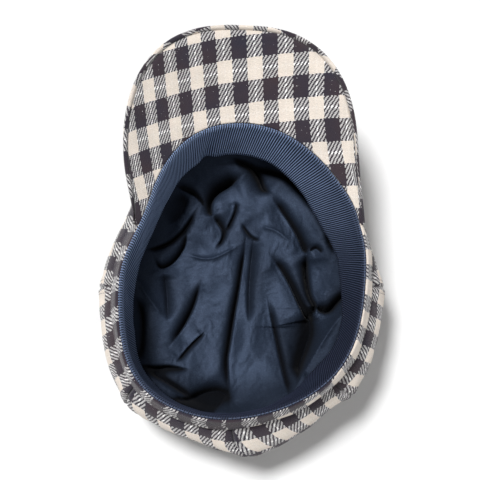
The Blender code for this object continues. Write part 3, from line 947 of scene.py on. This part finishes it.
BOWL_SHARE = 0.86
BOWL_GAP = 3 * MM
BOWL_BOTTOM = 30
BOWL_RISE = 21
BOWL_LOWEST = 9.5 * MM
SLACK_RISE = 2.0 * MM
DRAPE_ROWS = 112
DRAPE_FRAMES = 7
DRAPE_SCALE = 10
STRETCH_STIFFNESS = 40
SHEAR_STIFFNESS = 20
BENDING_STIFFNESS = 200
GROWTH = -0.004
CONTACT_GAP = 0.01
FLOOR_BOTTOM = 7.5
FLOOR_RISE = 26
LINING_FLOOR = 8.5 * MM
LINING_EASE = 1.5 * MM
LINING_BELOW_RIM = 3.0 * MM
LINING_THICKNESS = 0.35 * MM
LINING_LIFT = np.array([0, 0, 0.045])
# How much painted shade is added towards the rim, where the lining tucks under the band.
TUCKED_PAINTED_SHADE = 0.45


def laid(points):
    """The lining moved as the opening lies."""
    return lie(points + LINING_LIFT) - LINING_LIFT


def square_to_disc(a, b):
    """Angle and radius of the disc's point for each point of a square from -1 to 1."""
    wide = np.abs(a) > np.abs(b)
    radius = np.maximum(np.abs(a), np.abs(b))
    safe = np.where(radius == 0, 1, radius)
    along = np.where(wide, b * np.sign(a), -a * np.sign(b)) / safe
    quarter = np.where(wide, np.where(a > 0, 0, 2), np.where(b > 0, 1, 3))
    return quarter * math.pi / 2 + along * math.pi / 4, radius


def disc_to_square(angle, radius):
    quarter = np.floor((angle + math.pi / 4) / (math.pi / 2))
    along = (angle - quarter * math.pi / 2) * 4 / math.pi * radius
    quarter = quarter % 4
    a = np.select([quarter == 0, quarter == 1, quarter == 2], [radius, -along, -radius], along)
    b = np.select([quarter == 0, quarter == 1, quarter == 2], [along, radius, -along], -radius)
    return a, b


def slack_bowl(angle, bowl):
    """The lining as it is laid in: a slack bowl with its folds begun."""
    opening = opening_radius(angle)
    radius = bowl * (opening - BOWL_GAP)
    height = (BOWL_BOTTOM + BOWL_RISE * bowl**4) * MM
    points = cylindrical(radius, angle, height)
    relief, _ = crease_relief(laid(points), laid_in=True)
    soft = SLACK_RISE * ripple(points, 42 * MM, 41, 2)
    points[..., 2] += (relief + soft) * smooth_step(1.0, 0.90, bowl)
    points[..., 2] = np.maximum(points[..., 2], BOWL_LOWEST)
    return points


def crown_floor(share):
    """Lowest height the lining may take at a share of the opening's radius."""
    return (FLOOR_BOTTOM + FLOOR_RISE * share**5) * MM


def smoothed(grid, passes):
    """The grid with its small wrinkles eased away, its edge held."""
    for _ in range(passes):
        around = grid[:-2, 1:-1] + grid[2:, 1:-1] + grid[1:-1, :-2] + grid[1:-1, 2:]
        grid = grid.copy()
        grid[1:-1, 1:-1] += 0.5 * (around / 4 - grid[1:-1, 1:-1])
    return grid


def drape(points):
    """The slack bowl eased into folds in the crown, as weightless cloth held along its edge."""
    rows = len(points)
    index = np.arange(rows * rows).reshape(rows, rows)
    faces = np.stack([index[:-1, :-1], index[1:, :-1], index[1:, 1:], index[:-1, 1:]], -1).reshape(-1, 4)
    mesh = bpy.data.meshes.new("drape")
    mesh.from_pydata((points * DRAPE_SCALE).reshape(-1, 3).tolist(), [], faces.tolist())
    cloth = add_object("drape", mesh)
    borders = (index[:2], index[-2:], index[:, :2], index[:, -2:])
    edge = np.unique(np.concatenate([border.ravel() for border in borders]))
    cloth.vertex_groups.new(name="held").add(edge.tolist(), 1.0, "REPLACE")
    simulation = cloth.modifiers.new("cloth", "CLOTH")
    settings = simulation.settings
    settings.quality = 6
    settings.mass = 0.25
    settings.tension_stiffness = STRETCH_STIFFNESS
    settings.compression_stiffness = STRETCH_STIFFNESS
    settings.shear_stiffness = SHEAR_STIFFNESS
    settings.bending_stiffness = BENDING_STIFFNESS
    settings.air_damping = 4.0
    settings.effector_weights.gravity = 0.0
    settings.vertex_group_mass = "held"
    settings.shrink_min = GROWTH
    simulation.collision_settings.distance_min = CONTACT_GAP
    simulation.collision_settings.use_self_collision = False
    turn = ring_angles(64)
    share = np.linspace(0.02, 1.15, 24)
    floor_radius = share[None, :] * opening_radius(turn)[:, None]
    floor_height = crown_floor(share[None, :]) + 0 * floor_radius
    under = cylindrical(floor_radius, turn[:, None], floor_height) * DRAPE_SCALE
    crown = add_grid("drape_crown", under, under[..., :2], None, wrap=True)
    crown.modifiers.new("collision", "COLLISION")
    crown.collision.thickness_outer = CONTACT_GAP
    scene = bpy.context.scene
    simulation.point_cache.frame_end = DRAPE_FRAMES
    for frame_number in range(1, DRAPE_FRAMES + 1):
        scene.frame_set(frame_number)
    settled = cloth.evaluated_get(bpy.context.evaluated_depsgraph_get())
    flat = np.zeros(rows * rows * 3)
    settled.data.vertices.foreach_get("co", flat)
    scene.frame_set(1)
    for thing in (cloth, crown):
        used = thing.data
        bpy.data.objects.remove(thing)
        bpy.data.meshes.remove(used)
    points = flat.reshape(rows, rows, 3) / DRAPE_SCALE
    above = (points[..., 2] - LINING_FLOOR) / LINING_EASE
    points[..., 2] = LINING_FLOOR + LINING_EASE * np.logaddexp(0, above)
    return points


def cubic_weights(t):
    return [
        -0.5 * t + t * t - 0.5 * t**3,
        1 - 2.5 * t * t + 1.5 * t**3,
        0.5 * t + 2 * t * t - 1.5 * t**3,
        -0.5 * t * t + 0.5 * t**3,
    ]


def sample(grid, a, b):
    """A smooth reading of a square grid of points between its rows."""
    rows = len(grid)
    place_a, place_b = ((np.clip(part, -1, 1) + 1) / 2 * (rows - 1) for part in (a, b))
    low_a, low_b = (np.minimum(np.floor(place).astype(int), rows - 2) for place in (place_a, place_b))
    weights_a, weights_b = cubic_weights(place_a - low_a), cubic_weights(place_b - low_b)
    total = 0
    for i, weight_a in enumerate(weights_a):
        for j, weight_b in enumerate(weights_b):
            at_a, at_b = np.clip(low_a + i - 1, 0, rows - 1), np.clip(low_b + j - 1, 0, rows - 1)
            total = total + (weight_a * weight_b)[..., None] * grid[at_a, at_b]
    return total


def lining_points(grid, angle, share):
    """The lining's surface at angles round the hub and shares of the way from centre to rim, with its painted
    shade: dark in the creases and deeper towards the rim, where the lining tucks under the band.
    """
    level = rim_level(angle)[:, None]
    bowl = np.minimum(share / BOWL_SHARE, 1)[None, :] + 0 * level
    wall = np.maximum(share - BOWL_SHARE, 0)[None, :] / (1 - BOWL_SHARE)
    points = sample(grid, *disc_to_square(angle[:, None] + 0 * bowl, bowl))
    points[..., 2] += wall * (level - LINING_BELOW_RIM - points[..., 2])
    points = laid(points)
    crisp, shade = crease_relief(points, laid_in=False)
    away = np.hypot(points[..., 0], points[..., 1] - HUB_Y)
    out = away / opening_radius(np.arctan2(points[..., 1] - HUB_Y, points[..., 0]))
    lowest = crown_floor(np.minimum(out, 1))
    points[..., 2] = np.maximum(points[..., 2] + crisp * smooth_step(1.0, 0.93, bowl), lowest)
    # The creases' painted shade, plus painted shade growing towards the rim.
    return points, np.clip(shade + TUCKED_PAINTED_SHADE * smooth_step(0.60, 1.0, bowl), 0, 1)


def add_lining(satin):
    share = np.concatenate([np.linspace(0.001, BOWL_SHARE, 170), np.linspace(BOWL_SHARE, 1.0, 22)[1:]])
    side = np.linspace(-1, 1, DRAPE_ROWS)
    grid = slack_bowl(*square_to_disc(*np.meshgrid(side, side, indexing="ij")))
    grid = smoothed(drape(grid), 1)
    points, shade = lining_points(grid, ring_angles(680), share)
    piece = add_grid("lining_cloth", points, points[..., :2], satin, thickness=LINING_THICKNESS, wrap=True)
    piece.data.flip_normals()
    # The painted shade is stored on the lining as its crease attribute, which darkens the satin's colour.
    inner = piece.data.attributes.new("crease", "FLOAT", "POINT")
    inner.data.foreach_set("value", shade.ravel())
    panels = [f"lining_panel_{panel + 1}" for panel in range(LINING_PANELS)]
    finish_piece(piece, "navy_satin", *panels)


# ---- visor ----


VISOR_ROWS = 260
VISOR_SIDE_ROWS = 40
VISOR_PINCH = 1.5 * MM
VISOR_WAVE = 0.35 * MM
VISOR_COVER = 0.7 * MM
EVEN_EDGE_WIDTH = 12 * MM


def visor_outline():
    half_width = VISOR_HALF_WIDTH
    depth = VISOR_TIP - VISOR_SHOULDER
    forward = np.linspace(VISOR_END, VISOR_SHOULDER, VISOR_SIDE_ROWS, endpoint=False)
    turn = np.linspace(0, math.pi, VISOR_ROWS)
    cos = np.cos(turn)
    across = np.sign(cos) * np.abs(cos) ** (2 / VISOR_ROUNDNESS)
    along = np.clip(np.sin(turn), 0, 1) ** (2 / VISOR_ROUNDNESS)
    side = np.full(VISOR_SIDE_ROWS, half_width)
    x = np.concatenate([side, half_width * across, -side])
    f = np.concatenate([forward, VISOR_SHOULDER + depth * along, forward[::-1]])
    pinch = VISOR_PINCH * smooth_step(VISOR_SHOULDER, VISOR_END, f)
    return x - np.sign(x) * pinch, f


def even_rows(outline, count):
    """The outline taken at even distances."""
    at = path_distance(np.stack(outline, axis=1))
    wanted = np.linspace(0, at[-1], count)
    return np.array([np.interp(wanted, at, part) for part in outline])


def visor_root(x, forward, outward):
    angle = np.arctan2(-forward, x)
    radius = opening_radius(angle) + outward
    return radius * np.cos(angle), -radius * np.sin(angle)


def visor_grid(insets, depths, root_outward):
    """The visor's root, and lines of points that run along its edge, each so far in and so far down."""
    edge = even_rows(visor_outline(), VISOR_ROWS)
    root = np.array(visor_root(*edge, root_outward))
    scale = np.clip(np.hypot(*(edge - root)) / EVEN_EDGE_WIDTH, 0.12, 1)
    tangent = np.gradient(edge, axis=1)
    normal = np.array([tangent[1], -tangent[0]]) / np.hypot(*tangent)
    normal *= np.sign((normal * (root - edge)).sum(axis=0))
    lines = edge[..., None] + np.array(insets) * MM * scale[:, None] * normal[..., None]
    return root, lines, np.broadcast_to(np.array(depths) * MM, lines[0].shape)


VISOR_CHECK_MIDDLE = 120.6
CHECK_LEAN = (0.045, 0.0013)
CHECK_SPREAD = 0.0035
CHECK_SLOPE = 0.145
CHECK_BOW = (0.0014, 0.0010)


def cover_cloth(x, forward):
    """The check's lines on the visor, bowed by the curve that the cloth is stretched over."""
    across, ahead = x / MM, forward / MM - 10
    lean = CHECK_LEAN[0] + CHECK_LEAN[1] * across
    u = across + CHECK_SPREAD * np.clip(across - 10, 0, None) ** 2 - lean * (ahead - VISOR_CHECK_MIDDLE)
    bow = CHECK_BOW[0] * across * across
    v = ahead + CHECK_SLOPE * across + bow + CHECK_BOW[1] * np.clip(across, 0, None) ** 2 - VISOR_CHECK_MIDDLE
    return np.stack([u * MM + CHECK_WIDTH / 4, v * MM + CHECK_LENGTH / 4], axis=-1)


def visor_surface(x, forward, depth):
    return np.stack([x, HUB_Y - forward, visor_level(x, forward) - depth], axis=-1)


def add_visor_cover(name, points, cloth, wool, faces_up, node):
    """One cover of the visor, with its outer face up or down."""
    points[..., 2] += VISOR_WAVE * ripple(points, 40 * MM, 51)
    points = lie(points)
    piece = add_grid(name, points, cloth, wool, thickness=VISOR_COVER)
    if (grid_normals(points)[100, -15, 2] > 0) != faces_up:
        piece.data.flip_normals()
    finish_piece(piece, "wool_check", node)


UNDER_ROOT = -0.4 * MM
UNDER_INSET = 3.0
UNDER_SEAM = 1.8 * MM
UNDER_SEAM_WIDTH = 0.035
UNDER_SINK = 0.2 * MM


def add_visor_under(wool):
    across = np.linspace(0, 1, 60)
    root, edge, _ = visor_grid([UNDER_INSET], [0.0], UNDER_ROOT)
    x, f = (near[:, None] + across[None, :] * (far - near[:, None]) for near, far in zip(root, edge))
    seam = UNDER_SEAM * bump(across, 1.0, UNDER_SEAM_WIDTH)[None, :]
    points = visor_surface(x, f, seam - UNDER_SINK)
    cloth = cover_cloth(x, f)
    add_visor_cover("visor_under_cloth", points, cloth, wool, True, "visor_under_cover")


# The rolled edge of the top cover: how far in and how far down each line of points is, in millimetres.
TOP_INSETS = [3.3, 3.05, 2.7, 2.2, 1.6, 1.0, 0.5, 0.15, 0.0, 0.0, 0.15, 0.5, 1.1, 1.9, 3.0]
TOP_DEPTHS = [1.9, 0.8, 0.0, -0.50, -0.55, -0.30, 0.3, 1.0, 1.8, 2.8, 3.5, 4.1, 4.5, 4.7, 4.75]
TOP_ROOT = 1.8 * MM
OUTERMOST = slice(9, 10)
TOP_CHECK_LEAN = 0.03
TOP_CHECK_START = (0.004, 0.0035)


def add_visor_top(wool):
    root, edge, depth = visor_grid(TOP_INSETS, TOP_DEPTHS, TOP_ROOT)
    back = np.linspace(0, 1, 50)[None, 1:]
    tails = [far[:, -1:] + back * (near[:, None] - far[:, -1:]) for near, far in zip(root, edge)]
    x, f = (np.concatenate(parts, 1) for parts in zip(edge, tails))
    depth = np.concatenate([depth, np.full(tails[0].shape, VISOR_THICKNESS)], 1)
    points = visor_surface(x, f, depth)
    length = arc_length(points)
    rolled = np.clip(length[:, OUTERMOST] - length, 0, None)
    out = [part[:, OUTERMOST] - part[:, :1] for part in edge]
    size = np.hypot(*out)
    flat_x, flat_f = (
        np.where(rolled > 0, part[:, OUTERMOST] + rolled * way / size, part) for part, way in zip((x, f), out)
    )
    u = flat_x - TOP_CHECK_LEAN * flat_f + TOP_CHECK_START[0]
    v = flat_f + TOP_CHECK_START[1] + CHECK_LENGTH / 2
    cloth = np.stack([u, v], axis=-1)
    add_visor_cover("visor_top_cloth", points, cloth, wool, False, "visor_top_cover")


# ---- button and the pieces inside ----


BUTTON_TUCK = (0.97, 0.90, 0.80)
BUTTON_TUCK_RISE = (0.2, 0.35, 0.4)
BUTTON_DOME = 0.9
BUTTON_THICKNESS = 0.5 * MM
PLEATS = 22
PLEAT_RISE = 0.12 * MM
BUTTON_CHECK_START = np.array([0.003, 0.002])


def add_button(wool, steel):
    angle = ring_angles(96)
    base, top = BUTTON_LOW.z, BUTTON_HIGH.z
    reach = (BUTTON_HIGH.x - BUTTON_LOW.x) / 2
    turn = np.linspace(0.02, math.pi / 2, 26)
    radius = reach * np.sin(turn)
    height = top - (top - base) * np.cos(turn) ** BUTTON_DOME
    radius = np.concatenate([radius, reach * np.array(BUTTON_TUCK)])
    height = np.concatenate([height, top + np.array(BUTTON_TUCK_RISE) * MM])
    pleat = PLEAT_RISE * np.sin(angle * PLEATS)[:, None] * smooth_step(0.7, 1.0, radius / reach)[None, :]
    points = cylindrical(radius[None, :] + pleat, angle[:, None], height[None, :] + 0 * pleat)
    cloth = points[..., :2] + BUTTON_CHECK_START
    piece = add_grid("button_cloth", points, cloth, wool, thickness=BUTTON_THICKNESS, wrap=True)
    finish_piece(piece, "wool_check", "button_cover")
    for node in ("button_shell", "button_back_and_shank", "button_washer"):
        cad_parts[node].data.materials.clear()
        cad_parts[node].data.materials.append(steel)


def lying_copy(node, name, slot, material):
    """A hidden stiffener, which lies as the cloth round it does."""
    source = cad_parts[node]
    piece = source.copy()
    piece.data = source.data.copy()
    piece.name = name
    piece.parent = None
    for key in list(piece.keys()):
        del piece[key]
    bpy.context.scene.collection.objects.link(piece)
    count = len(piece.data.vertices)
    flat = np.zeros(count * 3)
    piece.data.vertices.foreach_get("co", flat)
    piece.data.vertices.foreach_set("co", lie(flat.reshape(-1, 3)).ravel())
    piece.data.materials.clear()
    piece.data.materials.append(material)
    piece.data.update()
    finish_piece(piece, slot, node)


# ---- stage ----

PIXELS = 480
SCALE = 0.67 * MM
CAMERA_DISTANCE = 0.70
CAMERA_TILT = math.radians(8)
CAMERA_ASIDE = 0.0007
CAMERA_AHEAD = 0.0287
SENSOR = 36.0


def add_camera():
    data = bpy.data.cameras.new("camera")
    data.sensor_width = SENSOR
    data.lens = SENSOR * CAMERA_DISTANCE / (PIXELS * SCALE)
    camera = add_object("camera", data)
    target = Vector((CAMERA_ASIDE, HUB_Y - CAMERA_AHEAD, RIM_HEIGHT))
    away = Vector((0, math.sin(CAMERA_TILT), math.cos(CAMERA_TILT)))
    camera.location = target + away * CAMERA_DISTANCE
    up = Vector((0, -1, 0))
    right = (-away).cross(up).normalized()
    true_up = right.cross(-away).normalized()
    turn = Matrix((right, true_up, away)).transposed()
    camera.matrix_world = Matrix.Translation(camera.location) @ turn.to_4x4()
    bpy.context.scene.camera = camera


KEY_DIRECTION = Vector((0.40, -0.45, 1.40))
KEY_STRENGTH = 3.8
KEY_SOFTNESS = math.radians(13)
FILL_PLACE = Vector((-0.70, 0.80, 1.00))
FILL_TARGET = Vector((0, 0, 0.05))
FILL_SIZE = 0.6
FILL_POWER = 2.5
HORIZON = (0.25, 0.50)
WORLD_LIGHT = (0.95, 0.17)
FLOOR_REACH = 3.0
FLOOR_GREY = 0.73


def add_key_light():
    data = bpy.data.lights.new("key", "SUN")
    data.energy = KEY_STRENGTH
    data.angle = KEY_SOFTNESS
    add_object("key", data).rotation_euler = KEY_DIRECTION.to_track_quat("Z", "Y").to_euler()


def add_fill_light():
    data = bpy.data.lights.new("fill", "AREA")
    data.shape = "DISK"
    data.size = FILL_SIZE
    data.energy = FILL_POWER
    light = add_object("fill", data)
    light.location = FILL_PLACE
    light.rotation_euler = (FILL_TARGET - FILL_PLACE).to_track_quat("-Z", "Y").to_euler()


def add_world():
    """A pale surround: bright at the horizon and below, and softer overhead."""
    world = bpy.data.worlds.new("studio")
    world.use_nodes = True
    nodes, links = world.node_tree.nodes, world.node_tree.links
    place = nodes.new("ShaderNodeTexCoord")
    split = nodes.new("ShaderNodeSeparateXYZ")
    rise = nodes.new("ShaderNodeMapRange")
    for socket, value in zip(("From Min", "From Max", "To Min", "To Max"), HORIZON + WORLD_LIGHT):
        rise.inputs[socket].default_value = value
    links.new(place.outputs["Generated"], split.inputs[0])
    links.new(split.outputs[2], rise.inputs["Value"])
    links.new(rise.outputs[0], nodes["Background"].inputs[1])
    nodes["Background"].inputs[0].default_value = (1, 1, 1, 1)
    bpy.context.scene.world = world


def add_stage():
    mesh = bpy.data.meshes.new("floor")
    corners = [(x * FLOOR_REACH, y * FLOOR_REACH, 0) for x, y in ((-1, -1), (1, -1), (1, 1), (-1, 1))]
    mesh.from_pydata(corners, [], [(0, 1, 2, 3)])
    s = Shading("floor_paper")
    mesh.materials.append(s.finish((FLOOR_GREY, FLOOR_GREY, FLOOR_GREY, 1), 0.9, specular=0.1))
    add_object("floor", mesh)
    add_world()
    add_key_light()
    add_fill_light()
    bpy.context.scene.view_settings.view_transform = "Standard"


def main():
    add_camera()
    add_stage()
    wool = make_check_wool()
    dark_thread = make_thread("dark_thread", DARK_THREAD)
    for number in range(GORES):
        add_gore(number, wool, dark_thread)
    add_headband(wool)
    add_sweatband(make_ribbon(), make_thread("navy_thread", NAVY_THREAD))
    add_lining(make_satin())
    add_visor_under(wool)
    add_visor_top(wool)
    add_button(wool, make_grained(**STEEL))
    lying_copy("visor_board", "visor_core", "visor_board", make_grained(**BOARD))
    lying_copy("headband_interfacing", "headband_stiffener", "buckram", make_grained(**BUCKRAM))


main()
